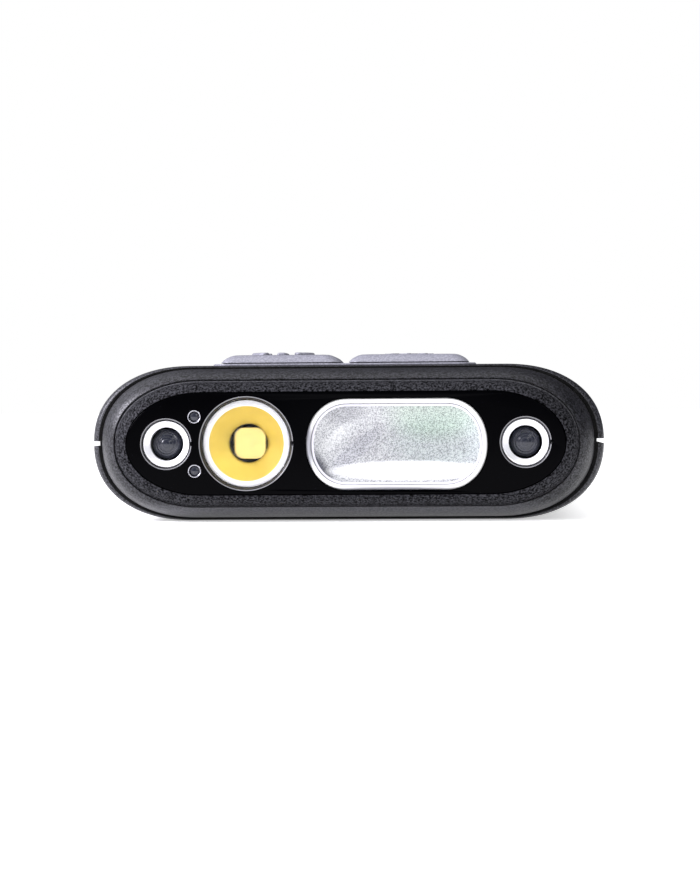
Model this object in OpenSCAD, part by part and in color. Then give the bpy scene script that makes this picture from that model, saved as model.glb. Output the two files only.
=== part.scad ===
// Flat rechargeable work light with a spot beam, a flood panel and two signal lamps in one end.
// Millimetres. X runs to the right seen from the light end, Y from the light end to the charging
// end, Z up. The origin is the middle of the underside.

/* [Body] */
// Width of the housing
body_w = 82.5; // [80:0.5:88]
// Height of the housing without the buttons
body_h = 25; // [25:0.25:27]
// Length from the light face to the charging end
body_l = 112; // [112:1:140]
// Thickness of the side walls
side_wall = 2.4; // [2.2:0.1:2.6]
// Height of the groove between the two shells
groove_h = 0.8; // [0.6:0.1:1.2]
// Depth of the groove between the two shells
groove_d = 1.3; // [0.8:0.1:1.4]

/* [Light face] */
// Sideways place of the spot reflector
spot_x = -15.7; // [-15.8:0.1:-15.4]
// Mouth radius of the spot reflector
spot_r = 5.97; // [5.8:0.01:6.05]
// Sideways place of the flood panel
flood_x = 8.1; // [7.6:0.1:8.2]
// Width of the flood panel
flood_w = 28.7; // [26:0.1:28.8]
// Height of the flood panel
flood_h = 14.5; // [13:0.1:14.5]
// Sideways place of the signal lamps, one each side
lamp_x = 28.4; // [28.2:0.1:28.6]
// Sideways place of the two proximity sensor lenses
sensor_x = -23.9; // [-24.2:0.1:-23.8]
// Height of the sensor lenses above and below the middle
sensor_z = 4.3; // [4.2:0.05:4.6]

/* [Buttons] */
// Width of one button
button_w = 20; // [18:0.5:20]
// Depth of one button, front to back
button_d = 15; // [13:0.5:15]
// Gap between the two buttons
button_gap = 1.2; // [1.2:0.1:1.6]
// Distance from the light face to the front edge of the buttons
button_back = 18; // [18:0.5:24]
// Sideways place of the middle of the two buttons
button_mid = -0.9; // [-0.9:0.1:0.9]

/* [Charging end] */
// Width of the port cover
cover_w = 15.4; // [14:0.2:17]

/* [Hidden] */

end_steps = 22;
mid_z = body_h / 2;
front_y = -body_l / 2;
rear_y = body_l / 2;
lid_wall = 2.2;
ceiling_z = body_h - lid_wall;
shell_front = front_y + 7.5;
shell_rear = rear_y - 6;
carrier_y = front_y + 4.6;
carrier_t = 1.8;
board_z = body_h - 10;
board_t = 1.2;
board_w = 59;
frame_w = 2 * button_w + button_gap + 2.3;
frame_d = button_d + 3.5;
power_x = button_mid - (button_w + button_gap) / 2;
mode_x = button_mid + (button_w + button_gap) / 2;
button_y = front_y + button_back + button_d / 2;
stem_r = 1.6;
press = 0.5;
reflector_f = 1.613;
hole_r = 3.05;
led_x = spot_x + 0.15;
focus_y = front_y + 5.35;
pack_size = [54, 66, 10.5];
pack_y = front_y + 28;
port_z = board_z - 1.63;
pin_y = rear_y - 1.1;
pin_z = port_z + 4.6;
shell_screw_x = body_w / 2 - 7.5;
shell_screw_y = [front_y + 20, rear_y - 26];
rear_screw_x = body_w / 2 - 9.5;
rear_screw_z = 7.8;
post_x = 26;
post_y = [front_y + 22, rear_y - 12.5];

dark_shell = "#3c3f46";
black = "#101114";
rubber = "#1c1d20";
steel = "#b9bcc2";
green = "#1f5b3a";

function power_of(v, p) = sign(v) * pow(abs(v), p);

// A closed outline with straight top and bottom and rounded ends of length a.
function capsule(w, h, a, n, m) = concat(
    [for (i = [0:m]) let (t = -90 + 180 * i / m)
        [w / 2 - a + a * power_of(cos(t), 2 / n), h / 2 * power_of(sin(t), 2 / n)]],
    [for (i = [0:m]) let (t = 90 + 180 * i / m)
        [-w / 2 + a + a * power_of(cos(t), 2 / n), h / 2 * power_of(sin(t), 2 / n)]]
);

// The housing outline, made smaller by iw across and ih in height.
function inset_outline(iw, ih) = capsule(
    body_w - iw, body_h - ih, 16.1 - 0.477 * ih, 2.25 - 0.028 * ih, end_steps
);

// The same outline standing at the station y.
function station(y, iw, ih) = [for (p = inset_outline(iw, ih)) [p[0], y, mid_z + p[1]]];

// Stations along a convex curve from [y, iw, ih] to [y, iw, ih], flat at first and steep later.
function curve(from, to, steps, a0, a1) = [for (i = [0:steps])
    let (
        a = a0 + (a1 - a0) * i / steps,
        u = (cos(a0) - cos(a)) / (cos(a0) - cos(a1)),
        v = (sin(a) - sin(a0)) / (sin(a1) - sin(a0))
    )
    station(from[0] + (to[0] - from[0]) * u, from[1] + (to[1] - from[1]) * v,
        from[2] + (to[2] - from[2]) * v)
];

// A rectangle with round corners, as points.
function round_rect(w, d, r, m = 6) = [for (q = [0:3]) for (i = [0:m])
    let (
        a = -90 + 90 * q + 90 * i / m,
        sx = (q == 0 || q == 1) ? 1 : -1,
        sy = (q == 1 || q == 2) ? 1 : -1
    )
    [sx * (w / 2 - r) + r * cos(a), sy * (d / 2 - r) + r * sin(a)]
];

// A skin over rings of points. A closed skin joins the last ring to the first.
module skin(rings, closed = false) {
    m = len(rings[0]);
    n = len(rings);
    last = closed ? n - 1 : n - 2;
    sides = [for (k = [0:last]) for (i = [0:m - 1])
        let (a = k * m + i, b = k * m + (i + 1) % m)
        let (c = ((k + 1) % n) * m + (i + 1) % m, d = ((k + 1) % n) * m + i)
        each [[a, b, c], [a, c, d]]];
    ends = closed ? [] : [[for (i = [m - 1:-1:0]) i], [for (i = [0:m - 1]) (n - 1) * m + i]];
    polyhedron(points = [for (r = rings) each r], faces = concat(sides, ends), convexity = 10);
}

// A rounded pad built upwards from rings of [z, width, depth, corner radius].
module pad(levels) {
    rotate([90, 0, 0])
        skin([for (l = levels) [for (p = round_rect(l[1], l[2], l[3])) [p[0], l[0], p[1]]]]);
}

// Extrudes a flat shape in X and Z from y0 to y1.
module along_y(y0, y1) {
    translate([0, y1, 0]) rotate([90, 0, 0]) linear_extrude(y1 - y0) children();
}

// A round rod along Y, with radius r at y1 and r0 at y0.
module rod(x, z, y0, y1, r, r0 = -1) {
    translate([x, y1, z]) rotate([90, 0, 0])
        cylinder(h = y1 - y0, r1 = r, r2 = r0 < 0 ? r : r0, $fn = 64);
}

// A round pin along X centred on x = 0.
module cross_pin(y, z, length, r) {
    translate([-length / 2, y, z]) rotate([0, 90, 0]) cylinder(h = length, r = r, $fn = 48);
}

// A box given by its low corner and its high corner.
module span(low, high) {
    translate(low) cube(high - low);
}

// A turned part about Y at x, from a profile of [radius, distance towards the rear].
module turned(x, z, y, profile) {
    translate([x, y, z]) rotate([-90, 0, 0]) rotate_extrude($fn = 64) polygon(profile);
}

module flood_outline(grow) {
    w = flood_w + grow;
    h = flood_h + grow;
    translate([flood_x, mid_z - 0.2]) polygon(capsule(w, h, h / 2 - 0.65, 2.1, 16));
}

// The outside of the two shells as one solid.
module shell_outer(inset) {
    skin([station(shell_front, 2.3 + inset, 0.6 + inset), station(shell_rear, inset, inset)]);
}

module shell_ring() {
    skin(concat(
        [station(shell_front, 2.3, 0.6), station(shell_front + 0.12, 1.5, 0.4)],
        [station(shell_front + 0.5, 0.7, 0.2), station(shell_front + 1.2, 0.2, 0.05)],
        [station(shell_front + 2, 0, 0), station(shell_rear, 0, 0)],
        [station(shell_rear, 2 * side_wall, 2 * lid_wall)],
        [station(shell_front, 2 * side_wall, 2 * lid_wall)]
    ), true);
}

module at_shell_screws() {
    for (x = [-shell_screw_x, shell_screw_x])
        for (y = shell_screw_y)
            translate([x, y, 0]) children();
}

module at_posts() {
    for (x = [-post_x, post_x])
        for (y = post_y)
            translate([x, y, 0]) children();
}

module at_buttons() {
    for (x = [power_x, mode_x])
        translate([x, button_y, 0]) children();
}

module upper_shell() {
    color(dark_shell)
    difference() {
        union() {
            intersection() {
                shell_ring();
                span([-60, -100, mid_z + groove_h / 2], [60, 100, body_h + 1]);
            }
            intersection() {
                shell_outer(1.2);
                at_shell_screws() translate([0, 0, mid_z]) cylinder(h = 20, r = 3.6, $fn = 48);
            }
            at_posts() translate([0, 0, board_z + board_t])
                cylinder(h = ceiling_z - board_z - board_t + 0.6, r = 2.2, $fn = 48);
        }
        at_shell_screws() translate([0, 0, mid_z - 1]) cylinder(h = 6.7, r = 1.02, $fn = 32);
        at_posts() translate([0, 0, board_z]) cylinder(h = 6.5, r = 0.9, $fn = 32);
        translate([button_mid, button_y, body_h - 1]) linear_extrude(5)
            polygon(round_rect(frame_w + 0.2, frame_d + 0.2, 3.1));
        at_buttons() {
            translate([0, 0, ceiling_z - 5]) cylinder(h = 10, r = stem_r + 0.07, $fn = 48);
            translate([0, 0, body_h - 1.8]) cylinder(h = 5, r = 3.05, $fn = 48);
        }
    }
}

module lower_shell() {
    color(dark_shell)
    difference() {
        union() {
            intersection() {
                shell_ring();
                span([-60, -100, -1], [60, 100, mid_z - groove_h / 2]);
            }
            intersection() {
                shell_outer(1.2);
                union() {
                    at_shell_screws() cylinder(h = mid_z, r = 3.6, $fn = 48);
                    for (x = [-rear_screw_x, rear_screw_x]) {
                        rod(x, rear_screw_z, shell_rear - 14, shell_rear - 4.2, 2.6);
                        span([x - 1, shell_rear - 14, 0], [x + 1, shell_rear - 4.2, rear_screw_z]);
                    }
                }
            }
            // Ribs that keep the battery pack in place
            for (x = [-20, 20]) {
                span([x - 4, pack_y - 1.6, 1.2], [x + 4, pack_y - 0.4, 7]);
                span([x - 4, pack_y + pack_size[1] + 0.4, 1.2],
                    [x + 4, pack_y + pack_size[1] + 1.6, 7]);
            }
        }
        at_shell_screws() {
            translate([0, 0, -1]) cylinder(h = 5.5, r = 2.2, $fn = 48);
            translate([0, 0, -1]) cylinder(h = 20, r = 1.15, $fn = 32);
        }
        for (x = [-rear_screw_x, rear_screw_x])
            rod(x, rear_screw_z, shell_rear - 12.5, shell_rear, 1.02);
    }
}

module shell_seal() {
    color(rubber)
    for (s = [-1, 1]) {
        in_x = body_w / 2 - side_wall;
        out_x = body_w / 2 - groove_d;
        translate([s > 0 ? in_x : -out_x, shell_front, mid_z - groove_h / 2])
            cube([out_x - in_x, shell_rear - shell_front, groove_h]);
    }
}

module front_bezel() {
    back = front_y + 11;
    web = carrier_y;
    color(dark_shell)
    skin(concat(
        [station(front_y + 2.5, 8.4, 4.7)],
        curve([front_y + 2.5, 8.2, 4.5], [front_y + 7.1, 3.4, 1.1], 7, 20, 78),
        [station(front_y + 7.1, 5.2, 4.8), station(back, 5.2, 4.8), station(back, 7.2, 6.8)],
        [station(web, 7.2, 6.8), station(web, 14, 9.6)],
        [station(front_y + 3, 14, 9.6), station(front_y + 3, 8.4, 4.7)]
    ), true);
}

module lens_frame() {
    ledge = front_y + 1.4;
    color(dark_shell)
    skin(concat(
        curve([front_y + 0.05, 12.6, 8.45], [front_y + 2.5, 8.9, 5.2], 6, 18, 72),
        [station(front_y + 3, 8.9, 5.2), station(front_y + 3, 15, 9.8)],
        [station(ledge, 15, 9.8), station(ledge, 12.8, 8.6)],
        [station(front_y + 0.05, 12.8, 8.6)]
    ), true);
}

module bezel_seal() {
    color(rubber)
    skin([
        station(front_y + 7.1, 4.4, 2.4), station(shell_front, 4.4, 2.4),
        station(shell_front, 5.1, 4.7), station(front_y + 7.1, 5.1, 4.7)
    ], true);
}

// A lamp opening through the face plate, with a bevel round its front and a locating notch.
module face_opening(x, r, bevel) {
    rod(x, mid_z, front_y - 1, front_y + 3, r);
    rod(x, mid_z, front_y - 0.02, front_y + 0.55, r, r + bevel);
    span([x + r, front_y - 1, mid_z - 0.35], [x + r + bevel + 0.3, front_y + 0.35, mid_z + 0.35]);
}

module face_plate() {
    color(black)
    difference() {
        skin([station(front_y, 13.3, 9.1), station(front_y + 0.15, 13, 8.8),
            station(front_y + 1.4, 13, 8.8)]);
        for (x = [-lamp_x, lamp_x]) face_opening(x, 3.75, 0.32);
        face_opening(spot_x, spot_r + 1.03, 0.48);
        along_y(front_y - 1, front_y + 3) flood_outline(0.2);
        for (z = [-sensor_z, sensor_z]) rod(sensor_x, mid_z + z, front_y - 1, front_y + 3, 1.16);
    }
}

module rear_cap() {
    port_half = cover_w / 2 + 0.3;
    color(dark_shell)
    difference() {
        union() {
            skin(concat(
                [station(rear_y - 4, 7.6, 7.2), station(rear_y - 10, 7.6, 7.2)],
                [station(rear_y - 10, 5.2, 4.8), station(rear_y - 5.7, 5.2, 4.8)],
                [station(rear_y - 5.7, 0, 0), station(rear_y - 3.2, 0, 0)],
                [for (i = [1:6]) let (t = 15 * i)
                    station(rear_y - 3.2 + 3.2 * sin(t), 5.4 * (1 - cos(t)), 4 * (1 - cos(t)))]
            ));
            for (x = [-rear_screw_x, rear_screw_x])
                rod(x, rear_screw_z, rear_y - 10, rear_y - 3.5, 2.6);
        }
        for (x = [-rear_screw_x, rear_screw_x]) {
            rod(x, rear_screw_z, rear_y - 12, rear_y + 1, 1.15);
            rod(x, rear_screw_z, rear_y - 4.5, rear_y + 1, 2.1);
        }
        for (s = [-1, 1])
            translate([s * (body_w / 2 - groove_d + 5), rear_y, mid_z])
                cube([10, 20, groove_h], center = true);
        // Recess for the port cover, its hinge and a finger
        along_y(rear_y - 1.7, rear_y + 1)
            translate([0, (port_z - 4.6 + pin_z) / 2])
                polygon(round_rect(2 * port_half, pin_z - port_z + 4.6, 1));
        span([-port_half, pin_y, pin_z - 2], [port_half, rear_y + 1, pin_z + 1.4]);
        cross_pin(pin_y, pin_z, 2 * port_half, 1.4);
        translate([0, rear_y + 1.2, port_z - 4.4]) rotate([0, 90, 0])
            cylinder(h = 7, r = 2.6, center = true, $fn = 48);
        along_y(rear_y - 6, rear_y) translate([0, port_z]) polygon(round_rect(9.3, 3.6, 1.7));
        cross_pin(pin_y, pin_z, 2 * port_half + 3, 0.61);
    }
}

module rear_seal() {
    color(rubber)
    skin([
        station(shell_rear, 1.6, 1.6), station(rear_y - 5.7, 1.6, 1.6),
        station(rear_y - 5.7, 4.9, 4.5), station(shell_rear, 4.9, 4.5)
    ], true);
}

module port_cover() {
    color(rubber)
    difference() {
        union() {
            along_y(rear_y - 1.5, rear_y - 0.15)
                translate([0, (port_z - 4.3 + pin_z) / 2])
                    polygon(round_rect(cover_w, pin_z - port_z + 4.3, 0.8));
            cross_pin(pin_y, pin_z, cover_w, 1.1);
            along_y(rear_y - 2.7, rear_y - 1)
                translate([0, port_z]) polygon(round_rect(7.4, 1.8, 0.85));
            for (i = [0:2])
                span([-5, rear_y - 0.5, port_z - 1.6 + 1.3 * i],
                    [5, rear_y, port_z - 1.1 + 1.3 * i]);
        }
        cross_pin(pin_y, pin_z, cover_w + 2, 0.64);
    }
}

module port_cover_pin() {
    color(steel) cross_pin(pin_y, pin_z, cover_w + 3.4, 0.6);
}

module spot_window() {
    color("#dfe8ee80") rod(spot_x, mid_z, front_y + 0.4, front_y + 1.2, spot_r + 0.93);
}

// Depth of the parabola behind the rim at radius r.
function bowl(r) = (r * r - hole_r * hole_r) / (4 * reflector_f);

module spot_reflector() {
    steps = 10;
    rim = focus_y - bowl(spot_r) - front_y;
    deep = focus_y - front_y;
    inner = [for (i = [0:steps]) let (r = hole_r + (spot_r - hole_r) * i / steps)
        [r, deep - bowl(r)]];
    color("#e9dfae")
    turned(spot_x, mid_z, front_y, concat(
        inner,
        [[spot_r + 0.69, rim], [spot_r + 0.69, rim + 0.75], [spot_r + 0.3, rim + 0.85]],
        [[5.6, carrier_y - front_y], [4.9, carrier_y - front_y], [4.9, deep]]
    ));
}

module spot_gasket() {
    color(black)
    difference() {
        rod(spot_x, mid_z, focus_y + 0.02, focus_y + 0.42, 4.7);
        along_y(focus_y - 1, focus_y + 1)
            translate([led_x, mid_z]) polygon(round_rect(4.9, 4.9, 1.2));
    }
}

module spot_led() {
    color("#f2efe4")
    span([led_x - 3.4, focus_y + 0.45, mid_z - 3.4], [led_x + 3.4, focus_y + 1.25, mid_z + 3.4]);
}

module spot_phosphor() {
    color("#f4e58a")
    along_y(focus_y - 0.35, focus_y + 0.45)
        translate([led_x, mid_z]) polygon(round_rect(4.7, 4.7, 1.15));
}

module spot_board() {
    color("#f5f5f2")
    difference() {
        rod(spot_x, mid_z, focus_y + 1.25, focus_y + 2.45, 7);
        for (a = [45, 225])
            rod(spot_x + 6.6 * cos(a), mid_z + 6.6 * sin(a), focus_y, focus_y + 4, 0.9);
    }
}

module flood_lens() {
    color("#f3f4f0")
    difference() {
        along_y(front_y + 0.4, front_y + 1.6) flood_outline(-1.7);
        along_y(front_y, front_y + 0.8) flood_outline(-3.4);
        along_y(front_y, front_y + 1.1) flood_outline(-5.6);
    }
}

module flood_tray() {
    color("#f8f8f6")
    difference() {
        along_y(front_y + 0.12, front_y + 7.8) flood_outline(0);
        along_y(front_y - 1, front_y + 1.6) flood_outline(-1.6);
        along_y(front_y - 1, front_y + 6.6) flood_outline(-2.8);
    }
}

module flood_board() {
    color("#f5f5f2") along_y(front_y + 5.8, front_y + 6.6) flood_outline(-3);
}

module flood_leds() {
    color("#f4e58a")
    for (x = [-2:2])
        for (z = [-1, 1])
            translate([flood_x + 4.4 * x, front_y + 5.45, mid_z - 0.2 + 2.7 * z])
                cube([2.8, 0.7, 3.5], center = true);
}

// A domed five millimetre lamp with its flange and two legs.
module lamp(x) {
    r = 2.5;
    tip = front_y + 0.8;
    turned(x, mid_z, tip, concat(
        [for (i = [0:6]) let (a = 15 * i) [r * sin(a), r - r * cos(a)]],
        [[r, 5.6], [2.9, 5.6], [2.9, 6.6], [0, 6.6]]
    ));
    for (s = [-1, 1]) rod(x + 1.27 * s, mid_z, tip + 6.5, tip + 9, 0.25);
}

module lamp_left() {
    color("#23262c") lamp(-lamp_x);
}

module lamp_right() {
    color("#23262c") lamp(lamp_x);
}

module lamp_cup(x) {
    turned(x, mid_z, front_y + 0.6, [[3.52, 0], [3.7, 0], [3.7, 3], [2.65, 3], [2.65, 0.55]]);
}

module lamp_cup_left() {
    color("#e8e8ea") lamp_cup(-lamp_x);
}

module lamp_cup_right() {
    color("#e8e8ea") lamp_cup(lamp_x);
}

module sensor(z) {
    r = 0.8;
    turned(sensor_x, z, front_y + 0.1, concat(
        [for (i = [0:5]) let (a = 18 * i) [r * sin(a), 0.5 - 0.4 * cos(a)]],
        [[0.86, 0.02], [1, 0], [1.08, 0.1], [1.08, 1.5], [1.5, 1.5], [1.5, 6.2], [0, 6.2]]
    ));
    for (s = [-1, 1]) rod(sensor_x + 0.9 * s, z, front_y + 6.2, front_y + 9.6, 0.22);
}

module sensor_emitter() {
    color("#2b2540") sensor(mid_z + sensor_z);
}

module sensor_receiver() {
    color("#1a1a1e") sensor(mid_z - sensor_z);
}

module lamp_board(x0, x1) {
    difference() {
        span([x0, front_y + 7.8, mid_z - 5.5], [x1, front_y + 8.8, mid_z + 5.5]);
        for (x = [-lamp_x, lamp_x])
            for (s = [-1, 1]) rod(x + 1.27 * s, mid_z, front_y + 7, front_y + 10, 0.3);
        for (z = [-sensor_z, sensor_z])
            for (s = [-1, 1]) rod(sensor_x + 0.9 * s, mid_z + z, front_y + 7, front_y + 10, 0.27);
    }
}

module lamp_board_left() {
    color(green) lamp_board(-33, -22.6);
}

module lamp_board_right() {
    color(green) lamp_board(23.9, 33);
}

carrier_screw_at = [for (x = [-20.8, 21.8]) for (z = [-7, 7]) [x, z]];

module optics_carrier() {
    back = carrier_y + carrier_t;
    color("#26282d")
    difference() {
        union() {
            along_y(carrier_y, back) translate([0, mid_z]) polygon(inset_outline(7.6, 7.2));
            for (x = [-lamp_x, lamp_x]) rod(x, mid_z, front_y + 1.4, carrier_y + 0.5, 4.4);
            for (p = carrier_screw_at) rod(p[0], mid_z + p[1], back - 0.5, front_y + 7.8, 1.6);
        }
        along_y(front_y - 1, front_y + 10) flood_outline(0.1);
        rod(spot_x, mid_z, front_y, front_y + 10, 5.1);
        for (x = [-lamp_x, lamp_x]) {
            rod(x, mid_z, front_y, front_y + 3.7, 3.75);
            rod(x, mid_z, front_y, front_y + 10, 2.6);
        }
        for (z = [-sensor_z, sensor_z]) rod(sensor_x, mid_z + z, front_y, front_y + 10, 1.55);
        for (p = carrier_screw_at) rod(p[0], mid_z + p[1], front_y, front_y + 10, 0.82);
    }
}

module heat_sink() {
    plate = front_y + 7.8;
    color("#9fa3a8")
    difference() {
        union() {
            span([-22.3, plate, mid_z - 8.2], [23.5, plate + 2, mid_z + 8.2]);
            for (i = [0:12])
                span([-18.2 + 3 * i, plate + 1.9, mid_z - 7.8],
                    [-17.2 + 3 * i, plate + 6, mid_z + 7.8]);
        }
        for (p = carrier_screw_at) rod(p[0], mid_z + p[1], front_y, front_y + 20, 0.85);
    }
}

module carrier_screws() {
    head = front_y + 9.8;
    color(steel)
    for (p = carrier_screw_at)
        difference() {
            union() {
                rod(p[0], mid_z + p[1], front_y + 4.8, head + 0.2, 0.8);
                rod(p[0], mid_z + p[1], head, head + 1.1, 1.5);
            }
            span([p[0] - 0.9, head + 0.6, mid_z + p[1] - 0.2],
                [p[0] + 0.9, head + 2, mid_z + p[1] + 0.2]);
        }
}

// Flat ribbons from the front boards to the main board.
module front_flex() {
    top = board_z + board_t;
    land = front_y + 19.4;
    color("#b5651d") {
        for (x = [-29.4, 25]) {
            span([x, front_y + 8.8, mid_z + 1.2], [x + 4, front_y + 9, top + 0.2]);
            span([x, front_y + 8.8, top], [x + 4, land, top + 0.2]);
        }
        span([-4, front_y + 7, mid_z + 8.2], [6, front_y + 14.2, mid_z + 8.4]);
        span([-4, front_y + 14, top], [6, front_y + 14.2, mid_z + 8.4]);
        span([-4, front_y + 14, top], [6, land, top + 0.2]);
    }
}

module button_frame() {
    top = body_h + 0.4;
    color("#4b4e57")
    difference() {
        translate([button_mid, button_y, 0]) pad([
            [body_h - 1, frame_w, frame_d, 3],
            [top - 0.2, frame_w, frame_d, 3],
            [top - 0.06, frame_w - 0.14, frame_d - 0.14, 2.93],
            [top, frame_w - 0.5, frame_d - 0.5, 2.75]
        ]);
        at_buttons() {
            translate([0, 0, body_h - 0.5]) linear_extrude(3)
                polygon(round_rect(button_w + 0.6, button_d + 0.6, 2.3));
            translate([0, 0, body_h - 5]) cylinder(h = 10, r = stem_r + 0.07, $fn = 48);
        }
    }
}

// One button cap with its stem, which has a groove for the clip.
module button_body(x) {
    base = body_h + 0.1;
    translate([x, button_y, 0]) {
        pad([
            [base, button_w - 0.3, button_d - 0.3, 1.85],
            [base + 0.15, button_w, button_d, 2],
            [base + 0.6, button_w - 0.3, button_d - 0.3, 2],
            [base + 1.1, button_w - 1.2, button_d - 1.2, 2],
            [base + 1.5, button_w - 2.6, button_d - 2.6, 1.9],
            [base + 1.72, button_w - 3.8, button_d - 3.8, 1.8],
            [base + 1.8, button_w - 5, button_d - 5, 1.6]
        ]);
        difference() {
            translate([0, 0, body_h - 4.7]) cylinder(h = 4.9, r = stem_r, $fn = 48);
            translate([0, 0, ceiling_z - 0.47]) difference() {
                cylinder(h = 0.44, r = 3, $fn = 48);
                translate([0, 0, -1]) cylinder(h = 3, r = 1.2, $fn = 48);
            }
        }
    }
}

module power_button() {
    top = body_h + 1.82;
    color("#6a6c78") {
        button_body(power_x);
        translate([power_x, button_y, top]) {
            linear_extrude(0.5) intersection() {
                difference() {
                    circle(r = 5.3, $fn = 64);
                    circle(r = 4, $fn = 64);
                }
                union() {
                    translate([-6.6, -5]) square([4, 10]);
                    translate([2.6, -5]) square([4, 10]);
                }
            }
            linear_extrude(0.5) square([1.6, 8], center = true);
        }
    }
}

module mode_button() {
    top = body_h + 1.82;
    color("#6a6c78") {
        button_body(mode_x);
        translate([mode_x, button_y, top]) linear_extrude(0.25) {
            circle(r = 1.9, $fn = 48);
            for (a = [0:45:315]) rotate(a) translate([2.6, -0.35]) square([1.5, 0.7]);
        }
    }
}

module button_seals() {
    color(rubber)
    at_buttons() translate([0, 0, body_h - 1.8]) difference() {
        cylinder(h = 0.8, r = 3, $fn = 48);
        translate([0, 0, -1]) cylinder(h = 3, r = stem_r + 0.05, $fn = 48);
    }
}

module stem_clip(x) {
    translate([x, button_y, ceiling_z - 0.45]) difference() {
        cylinder(h = 0.4, r = 2.6, $fn = 48);
        translate([0, 0, -1]) cylinder(h = 3, r = 1.2, $fn = 48);
        translate([0, -0.9, -1]) cube([4, 1.8, 3]);
    }
}

module power_clip() {
    color(steel) stem_clip(power_x);
}

module mode_clip() {
    color(steel) stem_clip(mode_x);
}

module switch_bodies() {
    base = board_z + board_t;
    color("#2a2a2d")
    at_buttons() difference() {
        union() {
            translate([-3, -3, base]) cube([6, 6, 3.5]);
            for (sx = [-1, 1])
                for (sy = [-1, 1])
                    translate([sx * 3.4, sy * 2.2, base + 0.25])
                        cube([1.6, 0.8, 0.5], center = true);
        }
        translate([0, 0, base + 2.3]) cylinder(h = 3, r = 1.75, $fn = 48);
    }
}

module plunger(x) {
    low = board_z + board_t + 2.9;
    translate([x, button_y, low]) cylinder(h = body_h - 4.75 - low, r = 1.7, $fn = 48);
}

module power_plunger() {
    color("#b8b8b8") plunger(power_x);
}

module mode_plunger() {
    color("#b8b8b8") plunger(mode_x);
}

module main_board() {
    y0 = front_y + 16;
    y1 = shell_rear;
    color(green)
    difference() {
        span([-board_w / 2, y0, board_z], [board_w / 2, y1, board_z + board_t]);
        at_posts() translate([0, 0, board_z - 1]) cylinder(h = 4, r = 1, $fn = 32);
    }
}

// Chips, coils and capacitors standing on the main board.
module board_parts() {
    z = board_z + board_t;
    color("#2f3136") {
        translate([-3, 5, z]) cube([6, 6, 3]);
        translate([-17.5, -2, z]) cube([7, 7, 0.9]);
        translate([6, 32, z]) cube([4, 4, 0.9]);
        translate([14, 14, z]) cube([5, 6.2, 1.6]);
        for (i = [0:2]) translate([-8 - 7.5 * i, 24, z]) cylinder(h = 5.2, r = 2.9, $fn = 48);
        for (i = [0:6]) translate([-14 + 3.2 * i, -10, z]) cube([1.6, 0.8, 0.7]);
        for (i = [0:5]) translate([11 + 2.4 * i, 5, z]) cube([0.8, 1.6, 0.6]);
        for (i = [0:4]) translate([-6 + 2.6 * i, 38, z]) cube([1.6, 0.8, 0.6]);
    }
}

module board_screws() {
    color(steel)
    at_posts() difference() {
        union() {
            translate([0, 0, board_z - 0.2]) cylinder(h = 6.2, r = 0.88, $fn = 32);
            translate([0, 0, board_z - 1.1]) cylinder(h = 1.1, r = 1.8, $fn = 48);
        }
        translate([0, 0, board_z - 2]) cylinder(h = 1.5, r = 0.8, $fn = 6);
    }
}

module usb_shell() {
    color(steel)
    difference() {
        along_y(rear_y - 9.4, rear_y - 2.1)
            translate([0, port_z]) polygon(round_rect(8.94, 3.26, 1.6));
        along_y(rear_y - 9, rear_y) translate([0, port_z]) polygon(round_rect(8.34, 2.66, 1.3));
    }
}

module usb_tongue() {
    color(black) span([-3.35, rear_y - 9, port_z - 0.35], [3.35, rear_y - 3.1, port_z + 0.35]);
}

module battery_pack() {
    z = lid_wall + 0.8;
    color("#8d9096")
    translate([0, pack_y + pack_size[1] / 2, 0]) pad([
        [z, pack_size[0] - 4, pack_size[1] - 3, 2],
        [z + 0.8, pack_size[0] - 1.4, pack_size[1] - 1, 2.4],
        [z + 2.4, pack_size[0], pack_size[1], 2.6],
        [z + pack_size[2] - 2.4, pack_size[0], pack_size[1], 2.6],
        [z + pack_size[2] - 0.8, pack_size[0] - 1.4, pack_size[1] - 1, 2.4],
        [z + pack_size[2], pack_size[0] - 4, pack_size[1] - 3, 2]
    ]);
}

module battery_foam() {
    color("#3a3a3a")
    span([-22, pack_y + 5, lid_wall], [22, pack_y + pack_size[1] - 5, lid_wall + 0.8]);
}

// Two leads in a step from the pack to the plug under the board.
module battery_leads() {
    r = 1.25;
    high = board_z - 1.8;
    low = 8;
    y = pack_y - 2.25;
    color("#a02020")
    for (x = [-3, -1]) translate([x, 0, 0]) {
        rod(0, high, y - r - 1, y - r, 0.6);
        rod(0, low, y + r, pack_y, 0.6);
        translate([0, y, low + r]) cylinder(h = high - low - 2 * r, r = 0.6, $fn = 32);
        translate([0, y - r, high - r]) rotate([0, 90, 0]) rotate([0, 0, 90])
            rotate_extrude(angle = 90, $fn = 64) translate([r, 0]) circle(r = 0.6, $fn = 32);
        translate([0, y + r, low + r]) rotate([0, 90, 0]) rotate([0, 0, 270])
            rotate_extrude(angle = 90, $fn = 64) translate([r, 0]) circle(r = 0.6, $fn = 32);
    }
}

module battery_plug() {
    y = pack_y - 4.5;
    color("#f0ece0")
    span([-5, y - 4.5, board_z - 3.2], [1, y, board_z]);
}

module shell_screws() {
    color(steel)
    at_shell_screws() difference() {
        union() {
            translate([0, 0, 4.3]) cylinder(h = 13, r = 1, $fn = 32);
            translate([0, 0, 2.9]) cylinder(h = 1.6, r = 2, $fn = 48);
        }
        translate([0, 0, 2]) cylinder(h = 1.9, r = 1, $fn = 6);
    }
}

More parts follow.
